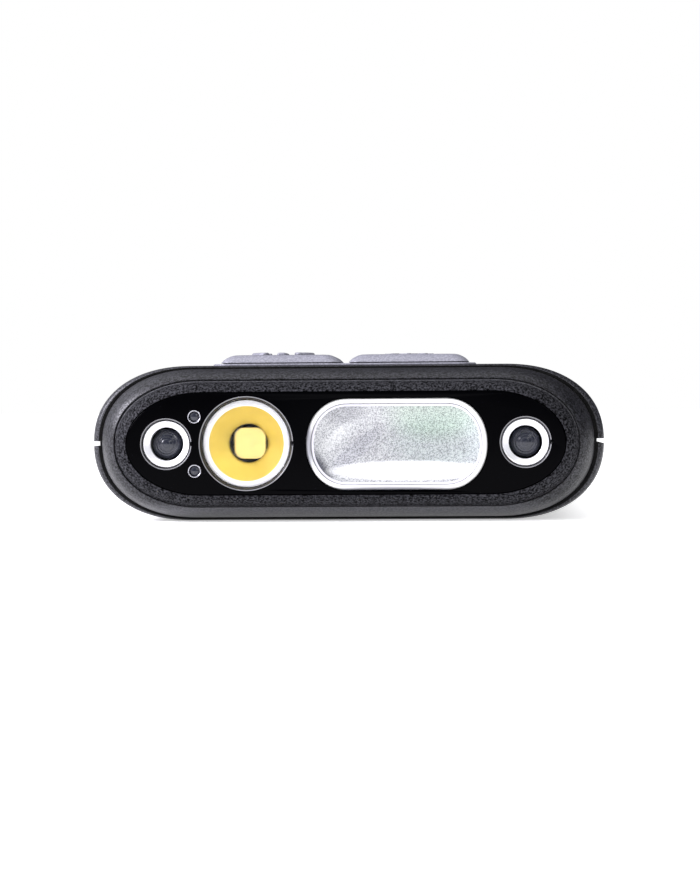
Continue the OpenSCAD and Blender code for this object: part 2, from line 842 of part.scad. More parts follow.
module rear_screws() {
    head = rear_y - 4.5;
    color(steel)
    for (x = [-rear_screw_x, rear_screw_x]) difference() {
        union() {
            rod(x, rear_screw_z, shell_rear - 11, head + 0.2, 1);
            rod(x, rear_screw_z, head, head + 1.6, 2);
        }
        translate([x, head + 2.6, rear_screw_z]) rotate([90, 0, 0])
            cylinder(h = 1.9, r = 1, $fn = 6);
    }
}

upper_shell();
lower_shell();
shell_seal();
front_bezel();
lens_frame();
bezel_seal();
face_plate();
rear_cap();
rear_seal();
port_cover();
port_cover_pin();
spot_window();
spot_reflector();
spot_gasket();
spot_led();
spot_phosphor();
spot_board();
flood_lens();
flood_tray();
flood_board();
flood_leds();
lamp_left();
lamp_right();
lamp_cup_left();
lamp_cup_right();
sensor_emitter();
sensor_receiver();
lamp_board_left();
lamp_board_right();
optics_carrier();
heat_sink();
carrier_screws();
front_flex();
button_frame();
power_button();
mode_button();
button_seals();
power_clip();
mode_clip();
switch_bodies();
power_plunger();
mode_plunger();
main_board();
board_parts();
board_screws();
usb_shell();
usb_tongue();
battery_pack();
battery_foam();
battery_leads();
battery_plug();
shell_screws();
rear_screws();
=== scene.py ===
"""Looks for the flat work light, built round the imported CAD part.

The light lies on its underside, with its lamps at the -Y end. Shapes are in millimetres in the
part's own axes, and new_object makes them metres. A section profile is a list of (y, iw, ih):
the place along the body, and how much narrower and lower than the housing the piece is there.
"""

import math

import bmesh
import bpy
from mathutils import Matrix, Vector


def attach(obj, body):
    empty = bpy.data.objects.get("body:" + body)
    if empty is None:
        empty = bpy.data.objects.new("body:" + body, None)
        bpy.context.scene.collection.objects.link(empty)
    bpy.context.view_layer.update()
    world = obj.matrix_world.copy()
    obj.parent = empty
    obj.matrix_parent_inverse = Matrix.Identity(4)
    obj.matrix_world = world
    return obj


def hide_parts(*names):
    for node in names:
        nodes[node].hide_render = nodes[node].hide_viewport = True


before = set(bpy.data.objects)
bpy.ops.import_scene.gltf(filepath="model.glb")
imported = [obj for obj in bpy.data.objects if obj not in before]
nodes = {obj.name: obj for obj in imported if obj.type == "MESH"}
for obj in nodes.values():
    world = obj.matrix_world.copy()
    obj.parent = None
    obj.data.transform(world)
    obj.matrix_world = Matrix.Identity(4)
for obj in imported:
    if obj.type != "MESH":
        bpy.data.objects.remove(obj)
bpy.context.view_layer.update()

MM = 0.001

# Sizes of the CAD part, in millimetres. First the body, from the front to the rear
BODY_W, BODY_H, BODY_L = 82.5, 25.0, 112.0
FRONT, REAR, MID = -BODY_L / 2, BODY_L / 2, BODY_H / 2
END_STEPS = 72
SIDE_WALL, LID_WALL = 2.4, 2.2
GROOVE_H, GROOVE_D = 0.8, 1.3
PLATE_BACK, LENS_FRAME_BACK = FRONT + 1.4, FRONT + 3
BEZEL_FRONT, BEZEL_BACK, BEZEL_END = FRONT + 2.5, FRONT + 7.1, FRONT + 11
SHELL_FRONT, SHELL_REAR = FRONT + 7.5, REAR - 6
CAP_FRONT, CAP_END, CAP_ROUND = REAR - 10, REAR - 5.7, 3.2

# The lamps and sensors in the face plate
SPOT_X, SPOT_R, HOLE_R = -15.7, 5.97, 3.05
BOWL_DEPTH, BOWL_FOCUS = 5.35, 1.613
LED_X, LED_Y = SPOT_X + 0.15, FRONT + BOWL_DEPTH
FLOOD_X, FLOOD_Z, FLOOD_W, FLOOD_H = 8.1, MID - 0.2, 28.7, 14.5
LAMP_X, LAMP_R, LAMP_HOLE_R = 28.4, 2.5, 3.75
SENSOR_X, SENSOR_Z, SENSOR_R = -23.9, 4.3, 0.8

# The buttons, and the raised frame round both
BUTTON_W, BUTTON_D, BUTTON_GAP = 20.0, 15.0, 1.2
BUTTON_MID, BUTTON_Y = -0.9, FRONT + 18 + BUTTON_D / 2
POWER_X, MODE_X = (BUTTON_MID + s * (BUTTON_W + BUTTON_GAP) / 2 for s in (-1, 1))
FRAME_W, FRAME_D, FRAME_R = 2 * BUTTON_W + BUTTON_GAP + 2.3, BUTTON_D + 3.5, 3
FRAME_TOP = BODY_H + 0.4
KEY_BASE, MARK_Z = BODY_H + 0.1, BODY_H + 1.82
STEM_R, STEM_PLAY = 1.6, 0.07

# The screws, and the charging port with its cover
SHELL_SCREW_X, SHELL_SCREW_Y = BODY_W / 2 - 7.5, (FRONT + 20, REAR - 26)
REAR_SCREW_X, REAR_SCREW_Z = BODY_W / 2 - 9.5, 7.8
SCREW_HOLE_R = 1.15
PORT_Z = BODY_H - 10 - 1.63
PIN_Y, PIN_Z = REAR - 1.1, PORT_Z + 4.6
COVER_W, COVER_GAP = 15.4, 0.3
FLAP_LOW, RECESS_LOW = PORT_Z - 4.3, PORT_Z - 4.6


# ---------------------------------------------------------------- meshes


def power_of(value, exponent):
    """A power that keeps the sign of the value."""
    return math.copysign(abs(value) ** exponent, value) if value else 0.0


def capsule(w, h, reach, n, steps=END_STEPS, first=-90, last=270):
    """Points of an outline with straight top and bottom and round ends.

    The ends are half superellipses with exponent n. The right one runs from the angle first to
    the top, and the left one from the top to the angle last.
    """
    points = []
    for side, low, high in ((1, first, 90), (-1, 90, last)):
        for i in range(steps + 1):
            t = math.radians(low + (high - low) * i / steps)
            x = side * (w / 2 - reach) + reach * power_of(math.cos(t), 2 / n)
            points.append((x, h / 2 * power_of(math.sin(t), 2 / n)))
    return points


def housing_ring(iw, ih, half=None):
    """The housing outline made smaller, whole or as one shell's half of it."""
    w, h = BODY_W - iw, BODY_H - ih
    reach, n = 16.1 - 0.477 * ih, 2.25 - 0.028 * ih
    if half is None:
        return capsule(w, h, reach, n)
    start = math.degrees(math.asin((GROOVE_H / h) ** (n / 2)))
    points = capsule(w, h, reach, n, first=start, last=180 - start)
    if half == "lower":
        points = [(x, -z) for x, z in reversed(points)]
    return points


def soften(profile, radii, closed=True):
    """Rounds the corners of a profile of (y, iw, ih) with short curves."""
    steps = 4

    def to_space(p):
        return Vector((p[0], p[1] / 2, p[2] / 2))

    out = []
    count = len(profile)
    for i, (point, radius) in enumerate(zip(profile, radii, strict=True)):
        here = to_space(point)
        open_end = not closed and i in (0, count - 1)
        if radius <= 0 or open_end:
            out.append(tuple(point))
            continue
        before, after = to_space(profile[i - 1]), to_space(profile[(i + 1) % count])
        a = min(radius, (before - here).length * 0.45)
        b = min(radius, (after - here).length * 0.45)
        p0 = here + (before - here).normalized() * a
        p2 = here + (after - here).normalized() * b
        for k in range(steps + 1):
            t = k / steps
            q = p0 * (1 - t) ** 2 + here * 2 * t * (1 - t) + p2 * t * t
            out.append((q.x, q.y * 2, q.z * 2))
    return out


def curve(start, end, steps, a0, a1):
    """Profile points along a convex curve, the part of an ellipse from angle a0 to a1."""
    out = []
    a0, a1 = math.radians(a0), math.radians(a1)
    for i in range(steps + 1):
        a = a0 + (a1 - a0) * i / steps
        u = (math.cos(a0) - math.cos(a)) / (math.cos(a0) - math.cos(a1))
        v = (math.sin(a) - math.sin(a0)) / (math.sin(a1) - math.sin(a0))
        mix = (u, v, v)
        out.append(tuple(s + (e - s) * m for s, e, m in zip(start, end, mix, strict=True)))
    return out


def new_object(name, verts, faces, material=None):
    """An object from points in millimetres, with its normals pointing out."""
    mesh = bpy.data.meshes.new(name)
    mesh.from_pydata([(x * MM, y * MM, z * MM) for x, y, z in verts], [], faces)
    mesh.validate()
    bm = bmesh.new()
    bm.from_mesh(mesh)
    bmesh.ops.remove_doubles(bm, verts=bm.verts, dist=1e-7)
    bmesh.ops.recalc_face_normals(bm, faces=bm.faces)
    bm.to_mesh(mesh)
    bm.free()
    obj = bpy.data.objects.new(name, mesh)
    bpy.context.scene.collection.objects.link(obj)
    if material:
        mesh.materials.append(material)
    return obj


def loop_skin(rings, closed_ring=True, closed_path=False):
    """Verts and faces of a skin over rings of 3-D points. An open path gets end caps."""
    m, n = len(rings[0]), len(rings)
    verts = [p for ring in rings for p in ring]
    faces = []
    for k in range(n if closed_path else n - 1):
        for i in range(m if closed_ring else m - 1):
            j, q = (i + 1) % m, (k + 1) % n
            faces.append((k * m + i, k * m + j, q * m + j, q * m + i))
    if closed_path and not closed_ring:
        faces.append([k * m for k in range(n)])
        faces.append([k * m + m - 1 for k in reversed(range(n))])
    if not closed_path:
        faces.append(list(range(m - 1, -1, -1)))
        faces.append([(n - 1) * m + i for i in range(m)])
    return verts, faces


def housing_skin(name, profile, material, half=None, closed=True):
    """A piece whose section profile runs round the housing outline."""
    rings = [[(x, y, MID + z) for x, z in housing_ring(iw, ih, half)] for y, iw, ih in profile]
    verts, faces = loop_skin(rings, closed_ring=half is None, closed_path=closed)
    return new_object(name, verts, faces, material)


def round_rect(w, d, r, steps=10):
    """Points of a rectangle with round corners, about its middle."""
    points = []
    for q in range(4):
        sx = 1 if q in (0, 1) else -1
        sy = 1 if q in (1, 2) else -1
        for i in range(steps + 1):
            a = math.radians(-90 + 90 * q + 90 * i / steps)
            points.append((sx * (w / 2 - r) + r * math.cos(a),
                           sy * (d / 2 - r) + r * math.sin(a)))
    return points


def pad(name, levels, centre, material=None, steps=10):
    """A rounded pad from levels of (z, width, depth, corner radius)."""
    cx, cy = centre
    rings = [[(cx + x, cy + y, z) for x, y in round_rect(w, d, r, steps)]
             for z, w, d, r in levels]
    return new_object(name, *loop_skin(rings), material)


def prism_y(name, outline, y0, y1):
    """A flat outline of (x, z), carried from y0 to y1."""
    return new_object(name, *loop_skin([[(x, y, z) for x, z in outline] for y in (y0, y1)]))


def lathe(name, profile, origin, axis="y", segments=128, material=None, closed=False):
    """Turns a profile of (radius, distance) round an axis through origin."""
    ox, oy, oz = origin
    rings = []
    for r, d in profile:
        ring = []
        for i in range(segments):
            a = 2 * math.pi * i / segments
            c, s = max(r, 1e-5) * math.cos(a), max(r, 1e-5) * math.sin(a)
            dx, dy, dz = {"x": (d, c, s), "y": (c, d, s), "z": (c, s, d)}[axis]
            ring.append((ox + dx, oy + dy, oz + dz))
        rings.append(ring)
    return new_object(name, *loop_skin(rings, closed_path=closed), material)


def box_mesh(name, low, high):
    """A box between two opposite corners."""
    (x0, y0, z0), (x1, y1, z1) = low, high
    verts = [(x, y, z) for z in (z0, z1) for y in (y0, y1) for x in (x0, x1)]
    faces = [(0, 2, 3, 1), (4, 5, 7, 6), (0, 1, 5, 4), (2, 6, 7, 3), (0, 4, 6, 2), (1, 3, 7, 5)]
    return new_object(name, verts, faces)


def join(name, objects, material):
    """One object in place of several."""
    bm = bmesh.new()
    for obj in objects:
        bm.from_mesh(obj.data)
    mesh = bpy.data.meshes.new(name)
    bm.to_mesh(mesh)
    bm.free()
    for obj in objects:
        bpy.data.objects.remove(obj)
    joined = bpy.data.objects.new(name, mesh)
    bpy.context.scene.collection.objects.link(joined)
    mesh.materials.append(material)
    return joined


def cut(obj, cutters, operation="DIFFERENCE"):
    """Takes the cutters away from obj, or joins them to it."""
    for tool in cutters:
        mod = obj.modifiers.new("cut", "BOOLEAN")
        mod.operation = operation
        mod.solver = "EXACT"
        mod.object = tool
    graph = bpy.context.evaluated_depsgraph_get()
    mesh = bpy.data.meshes.new_from_object(obj.evaluated_get(graph))
    obj.modifiers.clear()
    obj.data = mesh
    for tool in cutters:
        bpy.data.objects.remove(tool)


def smooth(obj, bevel=0.0, segments=3):
    """Rounds the sharp edges a little and shades the rest smoothly."""
    for poly in obj.data.polygons:
        poly.use_smooth = True
    if bevel:
        mod = obj.modifiers.new("edges", "BEVEL")
        mod.width = bevel * MM
        mod.segments = segments
        mod.limit_method = "ANGLE"
        mod.angle_limit = math.radians(38)
        mod.use_clamp_overlap = True
        mod.harden_normals = True
    mod = obj.modifiers.new("normals", "WEIGHTED_NORMAL")
    mod.keep_sharp = False
    mod.weight = 80


def paint(obj, materials, which):
    """Adds materials to a piece. For the middle (in mm) and normal of a face, which() gives the
    number of its material, where 0 is the one that the piece already has."""
    for material in materials:
        obj.data.materials.append(material)
    for poly in obj.data.polygons:
        poly.material_index = int(which(poly.center / MM, poly.normal))


# ------------------------------------------------------------- materials
#
# In these functions tn and links are the nodes and links of the material's tree.


def blank(name):
    """A new material, with its nodes, its links and its shader."""
    mat = bpy.data.materials.new(name)
    mat.use_nodes = True
    tn = mat.node_tree.nodes
    return mat, tn, mat.node_tree.links, tn["Principled BSDF"]


def coords(tn):
    """Places on a piece, in metres."""
    return tn.new("ShaderNodeTexCoord").outputs["Object"]


def noise(tn, links, scale, detail=2.0, rough=0.5):
    """Soft random values round 0.5, so many to the metre."""
    tex = tn.new("ShaderNodeTexNoise")
    tex.inputs["Scale"].default_value = scale
    tex.inputs["Detail"].default_value = detail
    tex.inputs["Roughness"].default_value = rough
    links.new(coords(tn), tex.inputs["Vector"])
    return tex.outputs["Fac"]


def spread(tn, links, value, low, high, start=0.3, end=0.7):
    """Maps a value between start and end to the range from low to high."""
    node = tn.new("ShaderNodeMapRange")
    node.inputs["From Min"].default_value = start
    node.inputs["From Max"].default_value = end
    node.inputs["To Min"].default_value = low
    node.inputs["To Max"].default_value = high
    links.new(value, node.inputs["Value"])
    return node.outputs["Result"]


def tint(tn, links, value, dark, light, start=0.3, end=0.7):
    """Maps a value between start and end to a colour from dark to light."""
    node = tn.new("ShaderNodeValToRGB")
    for stop, place, colour in zip(node.color_ramp.elements, (start, end), (dark, light)):
        stop.position = place
        stop.color = (*colour, 1)
    links.new(value, node.inputs["Fac"])
    return node.outputs["Color"]


def mixed(tn, links, how, factor, a, b):
    """Colour b laid over colour a. Each value is the output of a node, or fixed."""
    node = tn.new("ShaderNodeMix")
    node.data_type = "RGBA"
    node.blend_type = how
    for name, value in (("Factor", factor), ("A", a), ("B", b)):
        if isinstance(value, bpy.types.NodeSocket):
            links.new(value, node.inputs[name])
        else:
            node.inputs[name].default_value = value
    return node.outputs["Result"]


def bump(tn, links, height, strength, distance):
    """A normal that follows a height."""
    node = tn.new("ShaderNodeBump")
    node.inputs["Strength"].default_value = strength
    node.inputs["Distance"].default_value = distance
    links.new(height, node.inputs["Height"])
    return node.outputs["Normal"]


# Soft areas of another shade, each an ellipse in the part's own X and Z in millimetres:
# centre, half sizes, slant in degrees, colour, strength and how it meets what is under it.
# The flood lens has faint tints, two streaks, painted shade at its lower left end and a painted
# reflection as a pale band along its bottom.
LENS_TINTS_AND_PAINTED_LIGHT = (
    ((FLOOD_X + 6, FLOOD_Z + 5), (9, 5.2), 0, (0.86, 1.0, 0.85), 0.8, "MULTIPLY"),
    ((FLOOD_X + 7, FLOOD_Z + 0.5), (10, 6), 0, (0.88, 0.96, 0.93), 0.8, "MULTIPLY"),
    ((FLOOD_X + 1, FLOOD_Z - 0.2), (13, 4.4), 0, (0.8, 0.8, 0.8), 0.8, "MULTIPLY"),
    ((FLOOD_X - 8.5, FLOOD_Z + 5.4), (4.2, 2.6), 0, (0.62, 0.62, 0.64), 0.75, "MULTIPLY"),
    ((FLOOD_X - 6.6, FLOOD_Z - 1.0), (6.5, 1.7), 40, (0.8, 0.8, 0.84), 0.8, "MULTIPLY"),
    ((FLOOD_X - 9.4, FLOOD_Z + 1.2), (4.2, 1.3), 42, (0.7, 0.71, 0.7), 0.25, "MIX"),
    # Painted shade: the lower left end is made darker
    ((FLOOD_X - 12.9, FLOOD_Z - 4.4), (6.2, 2.6), -58, (0.16, 0.16, 0.2), 1.0, "MULTIPLY"),
    # Painted reflection: a pale band along the bottom of the dish
    ((FLOOD_X + 2, FLOOD_Z - 4.2), (13.6, 1.7), 0, (1.0, 1.0, 1.0), 1.0, "MIX"),
)
# Painted shade on the rim of the white tray, at its left end and along its bottom
TRAY_PAINTED_SHADE = (
    ((FLOOD_X - 14.8, FLOOD_Z - 0.6), (2.2, 8), 0, (0.25, 0.25, 0.29), 0.9, "MULTIPLY"),
    ((FLOOD_X - 1, FLOOD_Z - 7.5), (15, 1.1), 0, (0.2, 0.2, 0.24), 0.9, "MULTIPLY"),
)
# Painted light: the lower slope of the bezel is a little paler, as if lit from the floor below
BEZEL_PAINTED_LIGHT = (
    ((0, 1.3), (52, 2.6), 0, (0.06, 0.06, 0.067), 0.7, "MIX"),
)


def patched(tn, links, colour, areas):
    """Lays soft-edged areas over a colour, one after the other."""
    for (x, z), (rx, rz), slant, shade, strength, how in areas:
        place = tn.new("ShaderNodeMapping")
        place.vector_type = "TEXTURE"
        place.inputs["Location"].default_value = (x * MM, FRONT * MM, z * MM)
        place.inputs["Rotation"].default_value = (0, math.radians(-slant), 0)
        place.inputs["Scale"].default_value = (rx * MM, 1, rz * MM)
        links.new(coords(tn), place.inputs["Vector"])
        area = tn.new("ShaderNodeTexGradient")
        area.gradient_type = "SPHERICAL"
        links.new(place.outputs["Vector"], area.inputs["Vector"])
        cover = spread(tn, links, area.outputs["Fac"], 0, strength, 0, 0.45)
        colour = mixed(tn, links, how, cover, colour, (*shade, 1))
    return colour


def grained(name, base, rough, grain_mm=0.22, depth_mm=0.02, vary=0.25, specular=0.5,
            sparkle=0.3, areas=()):
    """Moulded plastic, rubber or a coating, with a fine grain and slight unevenness.

    The grain varies the colour by the share vary and the shine by the share sparkle. The areas,
    where given, lay painted light over the colour.
    """
    mat, tn, links, shader = blank(name)
    fine = noise(tn, links, 1000 / grain_mm, 2.5, 0.6)
    broad = noise(tn, links, 90, 3, 0.55)
    dark = tuple(c * (1 - vary) for c in base)
    light = tuple(min(c * (1 + vary), 1) for c in base)
    colour = patched(tn, links, tint(tn, links, fine, dark, light, 0.4, 0.64), areas)
    uneven = tint(tn, links, broad, (0.93, 0.93, 0.93), (1, 1, 1))
    links.new(mixed(tn, links, "MULTIPLY", 1, colour, uneven), shader.inputs["Base Color"])
    links.new(spread(tn, links, broad, rough - 0.02, rough + 0.03), shader.inputs["Roughness"])
    links.new(bump(tn, links, fine, 0.6, depth_mm * MM), shader.inputs["Normal"])
    low, high = specular * (1 - sparkle), specular * (1 + sparkle)
    links.new(spread(tn, links, fine, low, high, 0.4, 0.64), shader.inputs["Specular IOR Level"])
    return mat


def polished(name, base, rough, metallic=0.0, coat=0.0, specular=0.5):
    """A smooth moulded or plated surface with faint wiping marks."""
    mat, tn, links, shader = blank(name)
    broad = noise(tn, links, 260, 4, 0.6)
    fine = noise(tn, links, 2600, 2, 0.5)
    dark = tuple(c * 0.9 for c in base)
    links.new(tint(tn, links, broad, dark, base), shader.inputs["Base Color"])
    links.new(spread(tn, links, broad, rough, rough + 0.03), shader.inputs["Roughness"])
    links.new(bump(tn, links, fine, 0.06, 0.004 * MM), shader.inputs["Normal"])
    shader.inputs["Metallic"].default_value = metallic
    shader.inputs["Coat Weight"].default_value = coat
    shader.inputs["Coat Roughness"].default_value = 0.05
    shader.inputs["Specular IOR Level"].default_value = specular
    return mat


def brushed(name, base, rough, along=(1, 30, 30)):
    """Metal with fine lines, which run the way that has the smallest number in along."""
    mat, tn, links, shader = blank(name)
    mapping = tn.new("ShaderNodeMapping")
    mapping.inputs["Scale"].default_value = along
    links.new(coords(tn), mapping.inputs["Vector"])
    tex = tn.new("ShaderNodeTexNoise")
    tex.inputs["Scale"].default_value = 350
    tex.inputs["Detail"].default_value = 3
    links.new(mapping.outputs["Vector"], tex.inputs["Vector"])
    lines = tex.outputs["Fac"]
    dark = tuple(c * 0.75 for c in base)
    links.new(tint(tn, links, lines, dark, base), shader.inputs["Base Color"])
    links.new(spread(tn, links, lines, rough - 0.08, rough + 0.1), shader.inputs["Roughness"])
    links.new(bump(tn, links, lines, 0.3, 0.01 * MM), shader.inputs["Normal"])
    shader.inputs["Metallic"].default_value = 1
    return mat


def clear_glass(name):
    """A thin window that lets most of what is behind it through."""
    mat, tn, links, shader = blank(name)
    broad = noise(tn, links, 400, 3, 0.5)
    colour = tint(tn, links, broad, (0.97, 0.97, 0.97), (1, 1, 1))
    links.new(colour, shader.inputs["Base Color"])
    links.new(spread(tn, links, broad, 0, 0.02), shader.inputs["Roughness"])
    shader.inputs["Transmission Weight"].default_value = 1
    shader.inputs["IOR"].default_value = 1.45
    shader.inputs["Alpha"].default_value = 0.25
    return mat


def frosted_panel(name):
    """The flood lens: pebbled and pearly, with its tints, a painted reflection and painted shade.
    """
    mat, tn, links, shader = blank(name)
    fine = noise(tn, links, 5200, 3, 0.75)
    colour = tint(tn, links, fine, (0.18, 0.183, 0.195), (0.49, 0.5, 0.51), 0.38, 0.6)
    links.new(patched(tn, links, colour, LENS_TINTS_AND_PAINTED_LIGHT), shader.inputs["Base Color"])
    links.new(spread(tn, links, fine, 0.2, 0.4), shader.inputs["Roughness"])
    links.new(bump(tn, links, fine, 0.8, 0.03 * MM), shader.inputs["Normal"])
    shader.inputs["Coat Weight"].default_value = 0.25
    shader.inputs["Coat Roughness"].default_value = 0.12
    return mat


def tray_plastic(name):
    """White plastic with a soft sheen, and painted shade round part of the rim."""
    mat, tn, links, shader = blank(name)
    broad = noise(tn, links, 260, 4, 0.6)
    colour = tint(tn, links, broad, (0.74, 0.74, 0.73), (0.82, 0.82, 0.81))
    links.new(patched(tn, links, colour, TRAY_PAINTED_SHADE), shader.inputs["Base Color"])
    links.new(spread(tn, links, broad, 0.22, 0.25), shader.inputs["Roughness"])
    shader.inputs["Coat Weight"].default_value = 0.2
    return mat


def phosphor_panel(name, base, glow):
    """The yellow layer of an LED, with a little light of its own."""
    mat, tn, links, shader = blank(name)
    fine = noise(tn, links, 3000, 3, 0.6)
    broad = noise(tn, links, 420, 2, 0.5)
    dark = tuple(c * 0.86 for c in base)
    links.new(tint(tn, links, broad, dark, base, 0.35, 0.65), shader.inputs["Base Color"])
    links.new(spread(tn, links, fine, 0.35, 0.55), shader.inputs["Roughness"])
    links.new(bump(tn, links, fine, 0.3, 0.01 * MM), shader.inputs["Normal"])
    shader.inputs["Emission Color"].default_value = (*base, 1)
    shader.inputs["Emission Strength"].default_value = glow
    return mat


def board_mask(name):
    """Green solder mask with faint copper tracks under it."""
    mat, tn, links, shader = blank(name)
    brick = tn.new("ShaderNodeTexBrick")
    brick.inputs["Scale"].default_value = 420
    brick.inputs["Mortar Size"].default_value = 0.03
    brick.inputs["Color1"].default_value = (0.012, 0.075, 0.035, 1)
    brick.inputs["Color2"].default_value = (0.014, 0.085, 0.04, 1)
    brick.inputs["Mortar"].default_value = (0.04, 0.16, 0.07, 1)
    links.new(coords(tn), brick.inputs["Vector"])
    links.new(brick.outputs["Color"], shader.inputs["Base Color"])
    links.new(bump(tn, links, brick.outputs["Fac"], 0.3, 0.02 * MM), shader.inputs["Normal"])
    links.new(spread(tn, links, noise(tn, links, 500), 0.3, 0.42), shader.inputs["Roughness"])
    return mat


MATS = {
    # Housing
    "shell": grained("shell_plastic", (0.019, 0.019, 0.024), 0.42, 0.28, 0.05, vary=0.95,
                     specular=0.36),
    # The bezel has painted light on its lower slope
    "bezel": grained("bezel_plastic", (0.011, 0.011, 0.0145), 0.4, 0.3, 0.09, vary=0.98,
                     specular=0.36, sparkle=0.4, areas=BEZEL_PAINTED_LIGHT),
    "frame": grained("frame_plastic", (0.017, 0.017, 0.02), 0.62, 0.3, 0.08, vary=0.98,
                     specular=0.08, sparkle=0.85),
    # A paler, shinier grain for a painted highlight on the lens frame's upper shoulder
    "frame_painted_highlight": grained("frame_painted_highlight", (0.05, 0.05, 0.056), 0.35, 0.3, 0.02, vary=0.5),
    "face": polished("face_gloss", (0.0006, 0.0006, 0.0009), 0.05, specular=0.02),
    # A pale grey for a painted highlight on the thin edge of each opening
    "face_painted_highlight": polished("face_painted_highlight", (0.17, 0.17, 0.18), 0.3),
    "face_bevel": polished("face_bevel", (0.012, 0.012, 0.014), 0.3, specular=0.25),
    "seal": grained("seal_rubber", (0.006, 0.006, 0.007), 0.75, 0.3, 0.01, specular=0.15),
    # Dull black for the real gasket and for painted shade in gaps and at the foot of the buttons
    "gasket": grained("gasket_and_painted_shade", (0.003, 0.003, 0.003), 0.8, 0.3, 0.01, specular=0.1),
    "cover": grained("cover_rubber", (0.016, 0.016, 0.018), 0.62, 0.3, 0.012),
    "button": grained("button_plastic", (0.22, 0.22, 0.26), 0.4, 0.3, 0.018, vary=0.2),
    "steel": brushed("screw_steel", (0.55, 0.55, 0.57), 0.32),
    # Lamps
    "window": clear_glass("window_glass"),
    # Painted reflection: the metal bowl is tinted yellow-gold for the yellow LED that it mirrors
    "reflector": polished("reflector_painted_reflection", (0.9, 0.79, 0.335), 0.3, metallic=1.0),
    # Painted reflection: the rim is near white and hardly metallic, so it looks as bright as
    # plated metal mirroring light
    "reflector_rim": polished("reflector_rim", (0.95, 0.95, 0.97), 0.3, metallic=0.1),
    "ceramic": grained("led_ceramic", (0.8, 0.78, 0.7), 0.5, 0.15, 0.004, vary=0.05),
    "phosphor": phosphor_panel("spot_phosphor", (0.9, 0.7, 0.25), 0.2),
    "frosted": frosted_panel("flood_frost"),
    "lens_border": polished("lens_border", (0.62, 0.61, 0.68), 0.25, coat=0.3),
    "tray": tray_plastic("tray_plastic"),
    "dark_lens": polished("dark_lens", (0.015, 0.017, 0.026), 0.14),
    "mirror_cup": polished("cup_plating", (0.86, 0.86, 0.89), 0.3, metallic=0.35),
    "sensor_ring": polished("sensor_ring", (0.46, 0.46, 0.5), 0.22, metallic=1.0),
    # Inside
    "lamp_board": grained("lamp_board_coating", (0.85, 0.85, 0.82), 0.4, 0.3, 0.004, vary=0.04),
    "circuit_board": board_mask("board_mask"),
    "black_plastic": grained("black_plastic", (0.01, 0.01, 0.011), 0.5, 0.25, 0.012),
    "white_plastic": polished("white_plastic", (0.82, 0.82, 0.81), 0.22, coat=0.2),
    "heat_sink": brushed("heat_sink_aluminium", (0.7, 0.71, 0.73), 0.35, (30, 30, 1)),
    "ribbon": polished("ribbon_film", (0.45, 0.2, 0.04), 0.3),
    "plunger": grained("plunger_plastic", (0.3, 0.3, 0.3), 0.4),
    "pouch": brushed("pouch_foil", (0.5, 0.51, 0.53), 0.4, (6, 1, 6)),
    "lead": polished("lead_silicone", (0.4, 0.02, 0.02), 0.35),
}

# CAD nodes that are shown as they are, and the slot of each
PLAIN_SLOTS = {
    "shell_seal": "seal", "port_cover_pin": "steel", "spot_gasket": "black_plastic",
    "spot_led": "ceramic", "spot_board": "lamp_board", "flood_board": "lamp_board",
    "flood_leds": "phosphor", "lamp_board_left": "circuit_board",
    "lamp_board_right": "circuit_board", "optics_carrier": "black_plastic",
    "heat_sink": "heat_sink", "carrier_screws": "steel", "front_flex": "ribbon",
    "button_seals": "seal", "power_clip": "steel", "mode_clip": "steel",
    "switch_bodies": "black_plastic", "power_plunger": "plunger", "mode_plunger": "plunger",
    "main_board": "circuit_board", "board_parts": "black_plastic", "board_screws": "steel",
    "usb_shell": "steel", "usb_tongue": "black_plastic", "battery_pack": "pouch",
    "battery_foam": "seal", "battery_leads": "lead", "battery_plug": "white_plastic",
    "shell_screws": "steel", "rear_screws": "steel",
}
for node_name, slot_name in PLAIN_SLOTS.items():
    obj = nodes[node_name]
    obj.data.materials.clear()
    # The gasket behind the spot's LED is the dullest black of all, painted shade for the dark
    # hole round the LED
    obj.data.materials.append(MATS["gasket" if node_name == "spot_gasket" else slot_name])
    for poly in obj.data.polygons:
        poly.use_smooth = True
    mod = obj.modifiers.new("crisp", "EDGE_SPLIT")
    mod.split_angle = math.radians(30)


def stands_for(obj, node_name, body="housing"):
    """Puts a detailed piece in place of a CAD node."""
    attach(obj, body)
    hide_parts(node_name)


# ---------------------------------------------------------------- shells

shell_profile = soften([
    (SHELL_FRONT, 2.3, 0.6), (SHELL_FRONT + 0.12, 1.5, 0.4), (SHELL_FRONT + 0.5, 0.7, 0.2),
    (SHELL_FRONT + 1.2, 0.2, 0.05), (SHELL_FRONT + 2, 0, 0), (SHELL_REAR, 0, 0),
    (SHELL_REAR, 2 * SIDE_WALL, 2 * LID_WALL), (SHELL_FRONT, 2 * SIDE_WALL, 2 * LID_WALL)],
    [0.1, 0.2, 0.3, 0.4, 0.6, 0.25, 0.1, 0.1])


def finish_shell(shell, node_name):
    """Paints the end that faces the bezel dull black, as painted shade in the gap, and softens
    edges.
    """
    paint(shell, [MATS["gasket"]], lambda middle, normal: middle.y < SHELL_FRONT + 0.03)
    smooth(shell, 0.08)
    stands_for(shell, node_name)


def stem_holes(low):
    """Cutters for the ways of the two button stems."""
    r = STEM_R + STEM_PLAY
    return [lathe("hole", [(r, low), (r, BODY_H + 5)], (x, BUTTON_Y, 0), "z", 48)
            for x in (POWER_X, MODE_X)]


